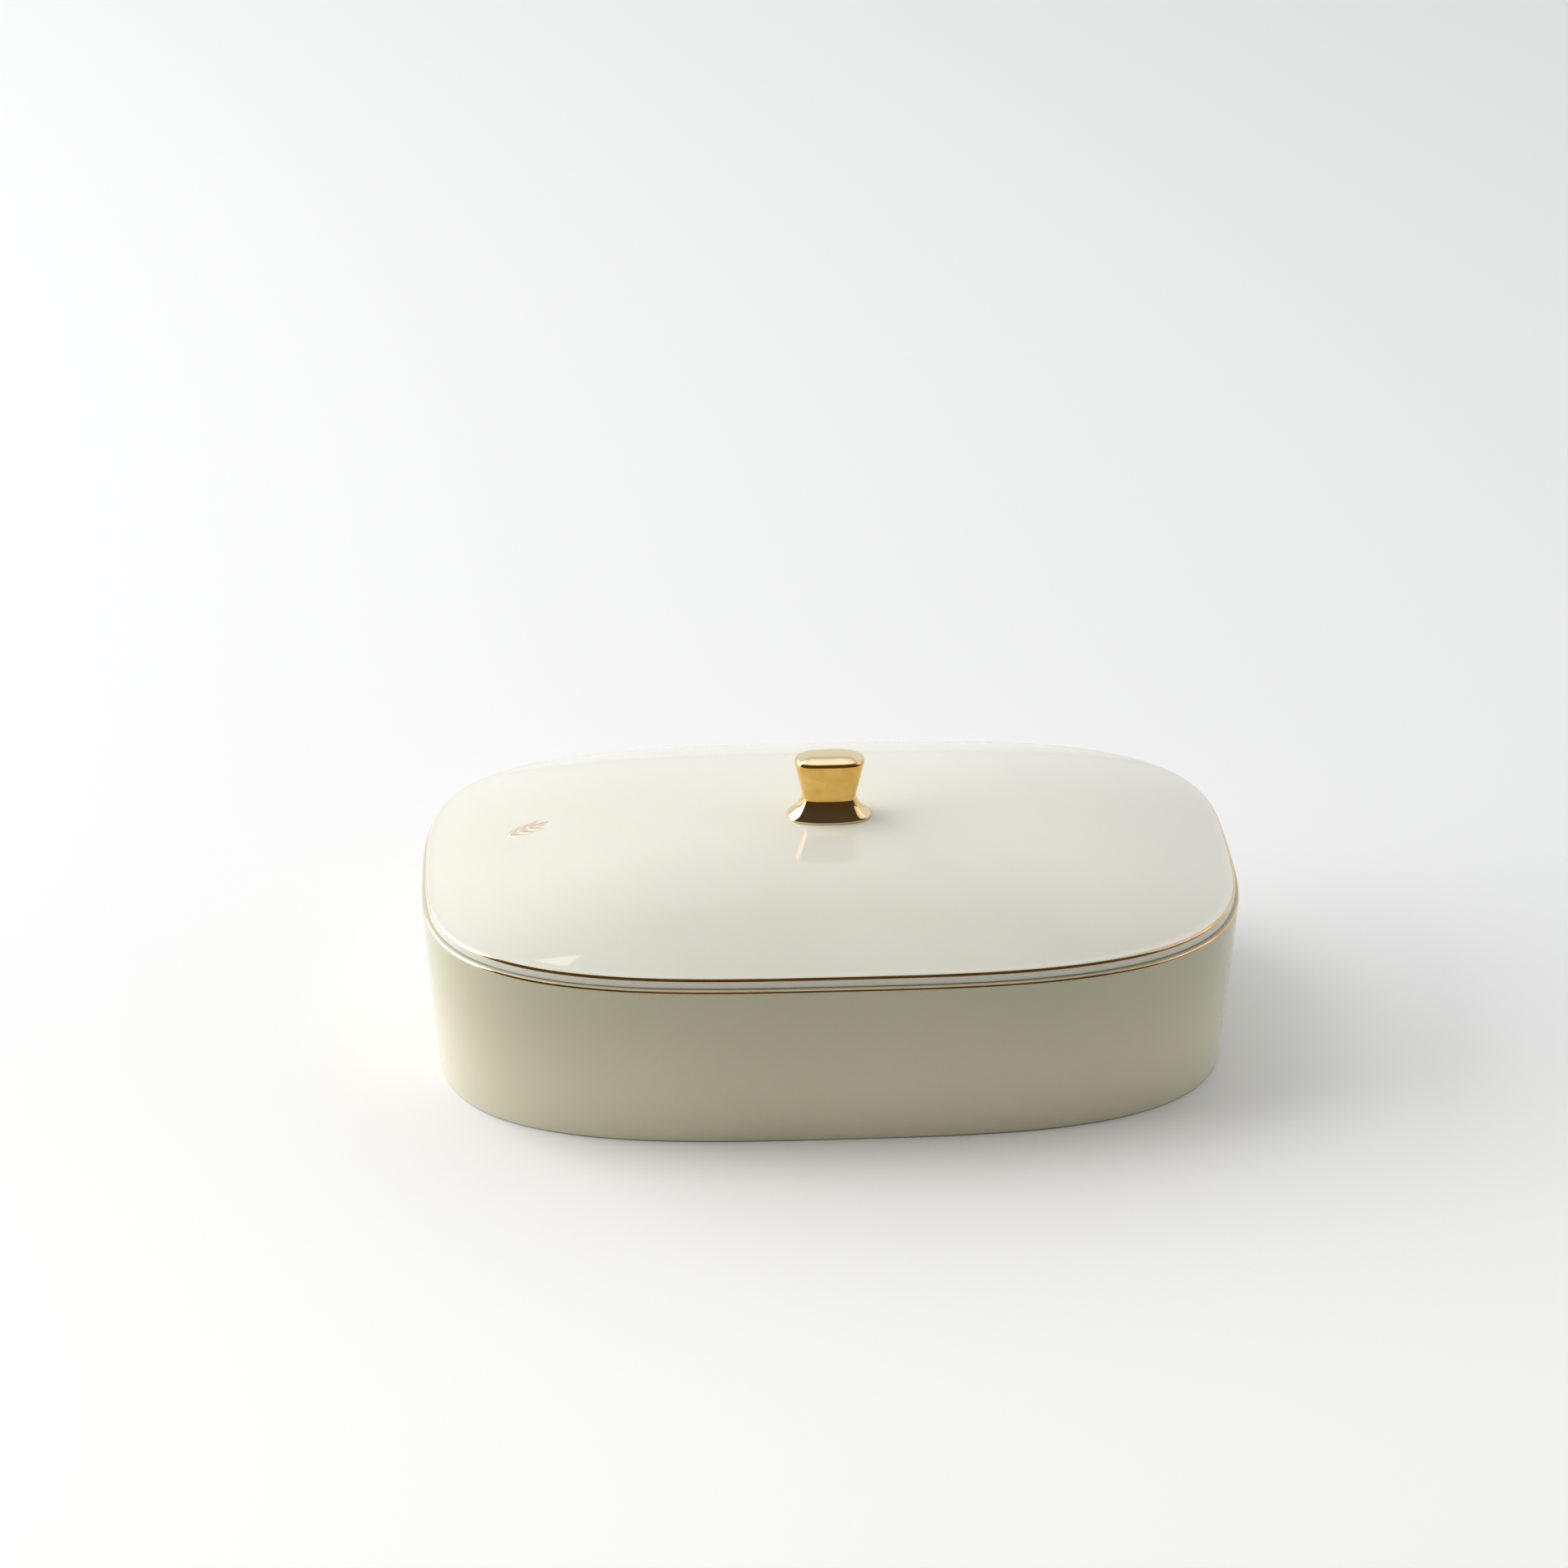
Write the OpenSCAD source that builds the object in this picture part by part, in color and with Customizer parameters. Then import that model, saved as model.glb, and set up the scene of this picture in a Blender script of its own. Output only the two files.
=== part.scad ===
// Glazed porcelain dresser box with a crowned lift-off lid and a gold knob held by one screw.
// Millimetres, +Z up. The origin is the middle of the foot, on the surface the box stands on.
// X runs along the length, and the front is at -Y.

/* [Box] */
// Length over the rim
box_l = 200; // [180:1:220]
// Depth over the rim, front to back
box_w = 118; // [106:1:130]
// Height of the rim above the table
rim_z = 44; // [38:0.5:55]
// Squareness of the plan outline: 2 is an ellipse, higher is squarer
plan_power = 3.2; // [2.8:0.1:4]
// Thickness of the wall
wall_t = 3.8; // [3:0.1:4.5]
// Thickness of the floor
floor_t = 4; // [3:0.1:6]
// How far the wall draws in from the rim to the foot, on each side
base_draw = 2.6; // [1:0.1:4]
// Radius between the wall and the floor inside
floor_r = 6; // [3:0.5:9]
// Width of the foot ring that the box stands on
foot_w = 4.8; // [3.5:0.1:6]
// Depth of the recess inside the foot ring
foot_recess = 1.6; // [1:0.1:2.5]

/* [Lid] */
// How far the lid's edge lies inside the rim's edge
lid_reveal = 1; // [0.5:0.1:1.5]
// Height of the lid's edge, from its seat on the rim to where the crown starts
lid_edge_h = 2.9; // [2.4:0.1:4]
// Height of the crown above the lid's edge
crown_h = 11.4; // [8:0.2:14]
// Fullness of the crown: 2 is a parabola, higher is flatter in the middle
crown_power = 2.5; // [2:0.1:3]
// Thickness of the lid
lid_t = 3.2; // [2.8:0.1:4]
// How far the locating flange reaches down into the box
flange_h = 4.5; // [3:0.1:7]
// Thickness of the locating flange
flange_t = 2.6; // [2:0.1:3.5]
// Gap between the flange and the inside of the rim
flange_gap = 1; // [0.6:0.1:1.5]

/* [Gilding] */
// Height of the gold line on the rim
rim_gilt_h = 0.9; // [0.9:0.1:1.6]
// Height of the gold line on the lid's edge
lid_gilt_h = 1.2; // [1.2:0.1:1.8]
// Depth that the gold lines take up
gilt_t = 0.15; // [0.1:0.01:0.2]

/* [Emblem] */
// Place of the sprig along the length
sprig_x = -73.7; // [-80:0.1:-50]
// Place of the sprig from front to back
sprig_y = 5.5; // [-15:0.1:15]
// Length of the sprig from stem to tip
sprig_l = 11; // [6:0.5:12]
// Direction that the sprig points in, counted from +X
sprig_turn = 20; // [0:1:90]

/* [Knob] */
// Height of the knob above the lid
knob_h = 17.2; // [14:0.2:22]
// Length of the knob's top
knob_top_l = 17; // [14:0.2:22]
// Depth of the knob's top
knob_top_w = 9.4; // [8:0.2:11]
// Length of the knob's neck
knob_neck_l = 13; // [11:0.2:16]
// Depth of the knob's neck
knob_neck_w = 6.8; // [6.4:0.2:8]
// Length of the knob's foot
knob_foot_l = 20.8; // [18:0.2:22]
// Depth of the knob's foot
knob_foot_w = 12.2; // [11:0.2:13]
// Height of the neck above the lid
knob_neck_z = 5.4; // [4:0.2:7]

/* [Knob fixing] */
// Diameter of the screw's thread
screw_d = 4; // [3:0.5:4]
// Length of thread inside the knob
screw_grip = 7; // [5:0.5:9]
// Diameter of the screw's head
screw_head_d = 8; // [6:0.5:8]
// Height of the screw's head
screw_head_h = 2.6; // [2:0.1:3]
// Diameter of the flat washer
washer_d = 11; // [10:0.5:11.5]
// Thickness of the flat washer
washer_t = 1; // [0.8:0.1:1.2]
// Diameter of the soft washer against the lid
cushion_d = 12.6; // [11.5:0.1:13]
// Thickness of the soft washer
cushion_t = 1; // [0.8:0.1:1.5]
// Thickness of the pad under the knob
gasket_t = 0.5; // [0.4:0.1:0.8]

/* [Hidden] */

porcelain = [0.90, 0.89, 0.83];
gold = [0.83, 0.66, 0.36];
segments = 80;
arc_steps = 3;
$fn = 64;

// Box levels and insets, all insets counted from the rim's outline
foot_r = 0.8;
rim_r = 0.8;
rim_inner_r = 0.6;
floor_z = foot_recess + floor_t;
gilt_lap = 0.2;

// Lid levels and insets
edge_z = rim_z + lid_edge_h;
shoulder_r = 1.2;
shoulder_start = 65;
edge_under_r = 0.5;
edge_inset = lid_reveal + shoulder_r * (1 - cos(shoulder_start));
flange_out = wall_t + flange_gap;
flange_in = flange_out + flange_t;
flange_r = 1;
crown_steps = 9;
flat_rho = 0.12;
under_rho = 0.89;

// Knob levels
seat_z = edge_z + crown_h * (1 - pow(flat_rho, crown_power));
under_z = seat_z - lid_t;
knob_oval_power = 2.2;
knob_ridge_power = 14;
front_bulge = 1.6;
back_bulge = 1.05;
foot_bulge = 1.12;
bulge_power = 3;
knob_segments = 56;
knob_roll = 0.5;
knob_edge_r = 1.3;
knob_dome = 0.9;
flare_crease = 0.45;
flare_power = 2.5;
knob_top_z = knob_h - knob_dome - knob_edge_r;
gasket_margin = 1.7;
bore_end_gap = 1.5;
screw_hole_d = screw_d + 1.2;
washer_hole_d = screw_d + 0.3;
thread_bite = 0.1;

// Point of a superellipse with half sizes hl and hw, in direction a
function squircle(hl, hw, power, a) =
    let (k = pow(pow(abs(cos(a)), power) + pow(abs(sin(a)), power), -1 / power))
    [hl * cos(a) * k, hw * sin(a) * k];

// Point of the plan outline in direction a, moved inwards along its normal
function outline_point(a, inset) =
    let (
        hl = box_l / 2,
        hw = box_w / 2,
        p = squircle(hl, hw, plan_power, a),
        g = [sign(p.x) * pow(abs(p.x / hl), plan_power - 1) / hl,
             sign(p.y) * pow(abs(p.y / hw), plan_power - 1) / hw]
    )
    p - inset * g / norm(g);

// Ring of points that follows the plan outline at one inset and height
function ring(inset, z) = [
    for (i = [0:segments - 1])
        let (p = outline_point(i * 360 / segments, inset))
        [p.x, p.y, z]
];

// Arc of the cross-section from angle a0 to a1, as [inset, z] pairs; 180 points outwards, 90 points up
function arc(inset, z, r, a0, a1) = [
    for (i = [0:arc_steps])
        let (a = a0 + (a1 - a0) * i / arc_steps)
        [inset + r * cos(a), z + r * sin(a)]
];

// Rings for a list of [inset, z] pairs
function rings(section) = [for (p = section) ring(p[0], p[1])];

// Height of the crown where a point is rho of the way from the middle to the edge
function crown_z(rho) = edge_z + crown_h * (1 - pow(rho, crown_power));

// Ring of the crown, lowered by drop for the underside
function crown_ring(rho, drop) =
    [for (p = ring(edge_inset, 0)) [p.x * rho, p.y * rho, crown_z(rho) - drop]];

// How far out a point of the lid is, 0 in the middle and 1 at the edge
function lid_rho(x, y) =
    pow(
        pow(abs(x) / (box_l / 2 - edge_inset), plan_power) +
        pow(abs(y) / (box_w / 2 - edge_inset), plan_power),
        1 / plan_power
    );

// How far the wall has drawn in at height z
function wall_inset(z) = base_draw * pow(1 - z / rim_z, 1.4);

// Closed skin over a stack of rings: capped at both ends, or joined end to end as a loop
module skin(stack, loop = false) {
    n = len(stack[0]);
    m = len(stack);
    sides = [
        for (j = [0:m - (loop ? 1 : 2)])
            for (i = [0:n - 1])
                [j * n + i, (j + 1) % m * n + i, (j + 1) % m * n + (i + 1) % n, j * n + (i + 1) % n]
    ];
    caps = [[for (i = [0:n - 1]) i], [for (i = [n - 1:-1:0]) (m - 1) * n + i]];
    polyhedron([for (r = stack) each r], loop ? sides : concat(caps, sides), convexity = 6);
}

// Flat ring or pad with a round hole
module washer(d, hole_d, t) {
    difference() {
        cylinder(d = d, h = t);
        translate([0, 0, -1]) cylinder(d = hole_d, h = t + 2);
    }
}

// Gold line on the rim's outer edge; depth 0 is its surface, gilt_t its back
function rim_line(depth) = concat(
    [[depth, rim_z - rim_gilt_h]],
    arc(rim_r, rim_z - rim_r, rim_r - depth, 180, 90),
    [[rim_r + gilt_lap, rim_z - depth]]
);

// Gold line on the shoulder of the lid's edge
function lid_line(depth) = concat(
    [[lid_reveal + depth, edge_z - lid_gilt_h]],
    arc(
        lid_reveal + shoulder_r, edge_z - shoulder_r * sin(shoulder_start),
        shoulder_r - depth, 180, 180 - shoulder_start
    )
);

function reversed(list) = [for (i = [len(list) - 1:-1:0]) list[i]];

module box_body() {
    outer = [for (z = [rim_z / 11, rim_z / 4, rim_z / 2, rim_z * 0.75]) [wall_inset(z), z]];
    inner_foot = base_draw + foot_r + foot_w;
    fillet_z = floor_z + floor_r;
    fillet_inset = wall_inset(fillet_z) + wall_t + floor_r;
    color(porcelain)
        skin(rings(concat(
            [[inner_foot + foot_recess, foot_recess], [inner_foot, 0]],
            arc(base_draw + foot_r, foot_r, foot_r, 270, 180),
            outer,
            [[0, rim_z - rim_gilt_h]],
            rim_line(gilt_t),
            [[rim_r + gilt_lap, rim_z]],
            arc(wall_t - rim_inner_r, rim_z - rim_inner_r, rim_inner_r, 90, 0),
            [[wall_inset(rim_z / 2) + wall_t, rim_z / 2]],
            arc(fillet_inset, fillet_z, floor_r, 180, 270)
        )));
}

module box_rim_gilding() {
    color(gold) skin(rings(concat(rim_line(0), reversed(rim_line(gilt_t)))), loop = true);
}

module lid_shell() {
    flange_z = rim_z - flange_h;
    under = [
        for (i = [0:crown_steps])
            crown_ring(flat_rho + (under_rho - flat_rho) * i / crown_steps, lid_t)
    ];
    crown = [for (i = [1:crown_steps]) crown_ring(1 - (1 - flat_rho) * i / crown_steps, 0)];
    edge = rings(concat(
        [[flange_in, rim_z + 0.6]],
        arc(flange_in - flange_r, flange_z + flange_r, flange_r, 0, -90),
        arc(flange_out + flange_r, flange_z + flange_r, flange_r, 270, 180),
        [[flange_out, rim_z]],
        arc(lid_reveal + edge_under_r, rim_z + edge_under_r, edge_under_r, 270, 180),
        [[lid_reveal, edge_z - lid_gilt_h]],
        lid_line(gilt_t)
    ));
    color(porcelain)
        difference() {
            skin(concat(under, edge, [ring(edge_inset, edge_z)], crown));
            translate([0, 0, under_z - 1]) cylinder(d = screw_hole_d, h = lid_t + 2);
        }
}

module lid_edge_gilding() {
    color(gold) skin(rings(concat(lid_line(0), reversed(lid_line(gilt_t)))), loop = true);
}

// Pointed leaf along +X, from the origin to its tip
module leaf(l, w) {
    r = (l * l / 4 + w * w / 4) / w;
    translate([l / 2, 0])
        intersection() {
            translate([0, r - w / 2]) circle(r);
            translate([0, w / 2 - r]) circle(r);
        }
}

module lid_emblem() {
    sink = 0.2;
    rise = 0.15;
    leaf_l = sprig_l * 0.38;
    leaf_w = sprig_l * 0.14;
    tip_at = sprig_l - leaf_l;
    stem_w = sprig_l * 0.04;
    leaf_turn = 42;
    slope_x = crown_z(lid_rho(sprig_x + 1, sprig_y)) - crown_z(lid_rho(sprig_x, sprig_y));
    slope_y = crown_z(lid_rho(sprig_x, sprig_y + 1)) - crown_z(lid_rho(sprig_x, sprig_y));
    color(gold)
        translate([sprig_x, sprig_y, crown_z(lid_rho(sprig_x, sprig_y)) - sink])
            rotate([atan(slope_y), -atan(slope_x), 0])
                rotate([0, 0, sprig_turn])
                    translate([-sprig_l / 2, 0, 0])
                        linear_extrude(sink + rise) {
                            translate([0, -stem_w / 2]) square([tip_at + leaf_w, stem_w]);
                            translate([tip_at, 0]) leaf(leaf_l, leaf_w);
                            for (along = [0.06, 0.28, 0.5], side = [-1, 1])
                                translate([sprig_l * along, 0])
                                    rotate(side * leaf_turn) leaf(leaf_l, leaf_w);
                        }
}

// How far down the flare height z is: 0 from the neck up, 1 at the foot's lip
function flare_share(z) = max(0, 1 - (z - knob_roll) / (knob_neck_z - knob_roll));

// Spread of the flare there: a slight crease at the neck, then open like a trumpet
function spread(u) = flare_crease * u + (1 - flare_crease) * pow(u, flare_power);

// Half size of the knob at height z, between its foot, neck and top sizes
function knob_half(z, foot, neck, top) =
    z < knob_neck_z
        ? (neck + (foot - neck) * spread(flare_share(z))) / 2
        : (neck + (top - neck) * (z - knob_neck_z) / (knob_top_z - knob_neck_z)) / 2;

// Bulge of the knob's plan at height z: its own value on the grip, then the foot's
function bulge_at(z, grip_bulge) = grip_bulge + (foot_bulge - grip_bulge) * pow(flare_share(z), bulge_power);

// Point of the knob's plan: an oval, bulge times as deep as the knob, cut flat along its long sides
function knob_outline(half_l, half_w, bulge, angle) =
    let (
        c = abs(cos(angle)),
        s = abs(sin(angle)),
        oval = pow(pow(c, knob_oval_power) + pow(s / bulge, knob_oval_power), 1 / knob_oval_power),
        k = pow(pow(oval, knob_ridge_power) + pow(s, knob_ridge_power), -1 / knob_ridge_power)
    )
    [half_l * cos(angle) * k, half_w * sin(angle) * k];

// Ring of the knob as at height z, drawn in by inset and raised by rise
function knob_ring(z, inset = 0, rise = 0) =
    let (
        hl = knob_half(z, knob_foot_l, knob_neck_l, knob_top_l) - inset,
        hw = knob_half(z, knob_foot_w, knob_neck_w, knob_top_w) - inset,
        front = bulge_at(z, front_bulge),
        back = bulge_at(z, back_bulge)
    )
    [
        for (i = [0:knob_segments - 1])
            let (a = i * 360 / knob_segments, p = knob_outline(hl, hw, a < 180 ? back : front, a))
            [p.x, p.y, seat_z + z + rise]
    ];

// Outline of the pad that sits in the knob's foot
module gasket_outline() {
    hl = knob_foot_l / 2 - gasket_margin;
    hw = knob_foot_w / 2 - gasket_margin;
    polygon([for (i = [0:knob_segments - 1]) knob_outline(hl, hw, foot_bulge, i * 360 / knob_segments)]);
}

module knob() {
    roll_r = knob_roll / 2;
    roll = [
        for (a = [-80, -45])
            knob_ring(knob_roll, roll_r * (1 - cos(a)), roll_r * (sin(a) - 1))
    ];
    flare = [for (i = [0:6]) knob_ring(knob_roll + (knob_neck_z - knob_roll) * i / 6)];
    grip = [for (i = [1:2]) knob_ring(knob_neck_z + (knob_top_z - knob_neck_z) * i / 2)];
    edge = [
        for (a = [25, 50, 75])
            knob_ring(knob_top_z, knob_edge_r * (1 - cos(a)), knob_edge_r * sin(a))
    ];
    dome_in = knob_top_w / 2 - knob_edge_r - 0.5;
    dome = [
        for (u = [1 / 3, 2 / 3, 1])
            knob_ring(knob_top_z, knob_edge_r + dome_in * u, knob_edge_r + knob_dome * (1 - pow(1 - u, 2)))
    ];
    bore_h = screw_grip + bore_end_gap;
    color(gold)
        difference() {
            skin(concat(roll, flare, grip, edge, dome));
            translate([0, 0, seat_z - 1]) linear_extrude(gasket_t + 1) gasket_outline();
            translate([0, 0, seat_z - 1]) cylinder(d = screw_d - thread_bite, h = bore_h + 1);
        }
}

module knob_gasket() {
    color([0.82, 0.80, 0.74])
        translate([0, 0, seat_z])
            linear_extrude(gasket_t)
                difference() {
                    gasket_outline();
                    circle(d = washer_hole_d);
                }
}

module knob_cushion() {
    color([0.85, 0.84, 0.80])
        translate([0, 0, under_z - cushion_t]) washer(cushion_d, washer_hole_d, cushion_t);
}

module knob_washer() {
    color([0.72, 0.72, 0.74])
        translate([0, 0, under_z - cushion_t - washer_t]) washer(washer_d, washer_hole_d, washer_t);
}

module knob_screw() {
    head_top = under_z - cushion_t - washer_t;
    shank = seat_z + screw_grip - head_top;
    head_r = screw_head_d / 2;
    slot_w = 0.9;
    slot_h = screw_head_h * 0.5;
    color([0.76, 0.76, 0.78])
        translate([0, 0, head_top])
            difference() {
                union() {
                    cylinder(d = screw_d, h = shank);
                    translate([0, 0, -screw_head_h])
                        rotate_extrude()
                            intersection() {
                                square([head_r, screw_head_h]);
                                translate([head_r - screw_head_h, screw_head_h])
                                    union() {
                                        circle(screw_head_h);
                                        translate([screw_head_h - head_r, -screw_head_h])
                                            square([head_r - screw_head_h, screw_head_h]);
                                    }
                            }
                }
                for (turn = [0, 90])
                    rotate(turn)
                        translate([-screw_head_d * 0.3, -slot_w / 2, -screw_head_h - 1])
                            cube([screw_head_d * 0.6, slot_w, slot_h + 1]);
            }
}

box_body();
box_rim_gilding();
lid_shell();
lid_edge_gilding();
lid_emblem();
knob();
knob_gasket();
knob_cushion();
knob_washer();
knob_screw();
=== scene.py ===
"""Looks of the porcelain dresser box: glazed shells, gold lines, leaf sprig, knob and fixing."""
import math

import bpy
import numpy as np
from mathutils import Matrix, Vector


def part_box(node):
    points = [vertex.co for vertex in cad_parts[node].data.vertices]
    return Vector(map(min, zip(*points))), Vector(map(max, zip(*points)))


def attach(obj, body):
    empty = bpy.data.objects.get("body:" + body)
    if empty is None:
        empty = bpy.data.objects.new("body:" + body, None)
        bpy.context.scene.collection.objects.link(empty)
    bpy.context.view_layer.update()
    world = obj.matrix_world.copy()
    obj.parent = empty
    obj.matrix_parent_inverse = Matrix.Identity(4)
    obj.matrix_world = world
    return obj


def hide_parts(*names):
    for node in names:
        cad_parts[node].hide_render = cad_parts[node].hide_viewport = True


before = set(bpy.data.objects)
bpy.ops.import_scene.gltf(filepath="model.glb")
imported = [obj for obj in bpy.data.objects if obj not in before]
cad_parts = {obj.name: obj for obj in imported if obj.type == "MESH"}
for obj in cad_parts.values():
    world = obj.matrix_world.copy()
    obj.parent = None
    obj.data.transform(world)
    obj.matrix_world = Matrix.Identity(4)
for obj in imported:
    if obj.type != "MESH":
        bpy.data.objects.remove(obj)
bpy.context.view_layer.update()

MM = 0.001

# ---- sizes read from the frame, in metres ----
body_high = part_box("box_body")[1]
lid_low, lid_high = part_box("lid_shell")
lid_gilt_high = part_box("lid_edge_gilding")[1]
emblem_low, emblem_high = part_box("lid_emblem")
knob_low, knob_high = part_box("knob")
cushion_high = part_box("knob_cushion")[1]

HALF_L = body_high.x
HALF_W = body_high.y
RIM_Z = body_high.z
PLAN_POWER = 3.2
AROUND = 288

# ---- the box's section ----
WALL_T = 3.8 * MM
BASE_DRAW = 2.6 * MM
DRAW_POWER = 1.4
FOOT_R = 0.8 * MM
FOOT_W = 4.8 * MM
FOOT_RECESS = 1.6 * MM
BARE_FOOT_Z = 0.45 * MM
FLOOR_Z = 5.6 * MM
FLOOR_R = 6 * MM
RIM_R = 0.8 * MM
RIM_INNER_R = 0.6 * MM
OUTSIDE_ROWS = 26
INSIDE_ROWS = 12

# ---- the lid's section ----
REVEAL = HALF_L - lid_high.x
EDGE_Z = lid_gilt_high.z
SHOULDER_R = 1.2 * MM
SHOULDER_END = math.radians(65)
SHOULDER_Z = EDGE_Z - SHOULDER_R * math.sin(SHOULDER_END)
EDGE_UNDER_R = 0.5 * MM
EDGE_INSET = REVEAL + SHOULDER_R * (1 - math.cos(SHOULDER_END))
SEAT_Z = knob_low.z
FLAT_RHO = 0.12
CROWN_POWER = 2.5
CROWN_H = (SEAT_Z - EDGE_Z) / (1 - FLAT_RHO**CROWN_POWER)
LID_T = SEAT_Z - cushion_high.z
FLANGE_OUT = WALL_T + 1 * MM
FLANGE_IN = FLANGE_OUT + 2.6 * MM
FLANGE_R = 1 * MM
FLANGE_Z = lid_low.z
FLANGE_ROOT_Z = RIM_Z + 0.6 * MM
UNDER_RHO = 0.89
UNDER_ROWS = 26
CROWN_ROWS = 44

# ---- the gold lines: spans and swings are degrees of the rounded edge, above outwards ----
GILT_PROUD = 0.03 * MM
GILT_DEPTH = 0.10 * MM
LINE_SWING = 2.5
LID_LINE = (11, 49)
RIM_LINE = (12, 54)
LINE_ROWS = 13
SWELLS = (2, 3, 5, 9, 14, 23)
LID_SEEDS = (2.3, 3.1)
RIM_SEEDS = (0.7, 1.9)

# ---- the leaf sprig: leaf and stem sizes are shares of its length ----
SPRIG_L = 11 * MM
SPRIG_TURN = math.radians(20)
LEAF_L = 0.38
LEAF_W = 0.14
LEAF_SKEW = 0.8
STEM_W = 0.04
STEM_SWELL = 1.2
STEM_TAPER = 0.6
LEAF_TURN = math.radians(42)
LEAF_BEND = 0.25
LEAF_ROOTS = (0.06, 0.28, 0.5)
LEAF_STEPS = 16
SPRIG_LIFT = 0.02 * MM
SPRIG_T = 0.05 * MM

# ---- the knob: heights are above its seat, pairs are half length and half width ----
KNOB_TOP = (8.5 * MM, 4.7 * MM)
KNOB_NECK = (6.5 * MM, 3.4 * MM)
KNOB_FOOT = (knob_high.x, knob_high.y)
KNOB_H = knob_high.z - knob_low.z
KNOB_AROUND = 192
NECK_Z = 5.4 * MM
BEAD = 0.5 * MM
BEAD_START = -85
TOP_R = 1.3 * MM
TOP_TURN = 60
DOME = 0.9 * MM
DOME_SPINE = 0.3 * MM
TOP_Z = KNOB_H - DOME - TOP_R
OVAL_POWER = 2.2
RIDGE_POWER = 6
FRONT_BULGE = 1.6
BACK_BULGE = 1.05
FOOT_BULGE = 1.12
BULGE_POWER = 3
FLARE_CREASE = 0.45
FLARE_POWER = 2.5
PIT_X = -3.8 * MM
PIT_Z = 12.4 * MM
PIT_R = 0.45 * MM
PIT_DEPTH = 0.24 * MM
BEAD_ROWS = 8
FLARE_ROWS = 18
GRIP_ROWS = 40
EDGE_ROWS = 12
DOME_ROWS = 17


# ---- outline and section helpers ----
def squircle(half_l, half_w, power, angle):
    """Points of a superellipse in the directions angle."""
    c, s = np.cos(angle), np.sin(angle)
    k = (abs(c) ** power + abs(s) ** power) ** (-1 / power)
    return half_l * c * k, half_w * s * k


def turns(count):
    return np.arange(count) * 2 * math.pi / count


def ring(inset, z):
    """Ring of the plan outline, moved inwards along its normal by inset; both may vary round it."""
    x, y = squircle(HALF_L, HALF_W, PLAN_POWER, turns(AROUND))
    gx = np.sign(x) * abs(x / HALF_L) ** (PLAN_POWER - 1) / HALF_L
    gy = np.sign(y) * abs(y / HALF_W) ** (PLAN_POWER - 1) / HALF_W
    g = np.hypot(gx, gy)
    return np.stack([x - inset * gx / g, y - inset * gy / g, np.zeros(AROUND) + z], 1)


def arc(inset, z, r, start, end, steps=8):
    """Arc of the section as (inset, z) pairs; 180 degrees points outwards and 90 up."""
    angles = np.radians(np.linspace(start, end, steps + 1))
    return [(inset + r * math.cos(a), z + r * math.sin(a)) for a in angles]


def rings(section):
    return [ring(inset, z) for inset, z in section]


def crown_z(rho):
    """Height of the lid's top where a point is rho of the way from the middle to the edge."""
    return EDGE_Z + CROWN_H * (1 - rho**CROWN_POWER)


def crown_ring(rho, drop=0.0):
    edge = ring(EDGE_INSET, 0)
    return np.stack([edge[:, 0] * rho, edge[:, 1] * rho, np.zeros(AROUND) + crown_z(rho) - drop], 1)


def lid_surface(x, y):
    """Height of the lid's top at one point."""
    a, b = HALF_L - EDGE_INSET, HALF_W - EDGE_INSET
    rho = (abs(x / a) ** PLAN_POWER + abs(y / b) ** PLAN_POWER) ** (1 / PLAN_POWER)
    return crown_z(max(rho, FLAT_RHO))


def wall_inset(z):
    return BASE_DRAW * (1 - z / RIM_Z) ** DRAW_POWER


def new_piece(name, verts, faces, smooth=True):
    mesh = bpy.data.meshes.new(name)
    mesh.from_pydata(verts, [], faces)
    mesh.polygons.foreach_set("use_smooth", [smooth] * len(mesh.polygons))
    mesh.update()
    piece = bpy.data.objects.new(name, mesh)
    bpy.context.scene.collection.objects.link(piece)
    return piece


def skin(name, stack, loop=False):
    """Smooth mesh over a stack of rings, capped at both ends or joined end to end."""
    n, m = len(stack[0]), len(stack)
    verts = np.concatenate(stack).tolist()
    faces = []
    for j in range(m if loop else m - 1):
        k = (j + 1) % m
        for i in range(n):
            h = (i + 1) % n
            faces.append((j * n + i, j * n + h, k * n + h, k * n + i))
    if not loop:
        for base, flip in ((0, True), ((m - 1) * n, False)):
            centre = len(verts)
            verts.append(stack[base // n].mean(0).tolist())
            for i in range(n):
                h = (i + 1) % n
                a, b = (h, i) if flip else (i, h)
                faces.append((base + a, base + b, centre))
    return new_piece(name, verts, faces)


def place(piece, body, node, material):
    """Gives a piece its material, hangs it on its body and hides the CAD part that it stands for.
    """
    piece.data.materials.append(material)
    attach(piece, body)
    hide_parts(node)


# ---- material helpers ----
def new_material(name):
    material = bpy.data.materials.new(name)
    material.use_nodes = True
    tree = material.node_tree
    coords = tree.nodes.new("ShaderNodeTexCoord")
    return material, tree, tree.nodes["Principled BSDF"], coords.outputs["Object"]


def axes(tree, coords):
    node = tree.nodes.new("ShaderNodeSeparateXYZ")
    tree.links.new(coords, node.inputs["Vector"])
    return node.outputs


def noise(tree, coords, scale, detail=2.0, roughness=0.5):
    node = tree.nodes.new("ShaderNodeTexNoise")
    node.inputs["Scale"].default_value = scale
    node.inputs["Detail"].default_value = detail
    node.inputs["Roughness"].default_value = roughness
    tree.links.new(coords, node.inputs["Vector"])
    return node.outputs["Fac"]


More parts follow.
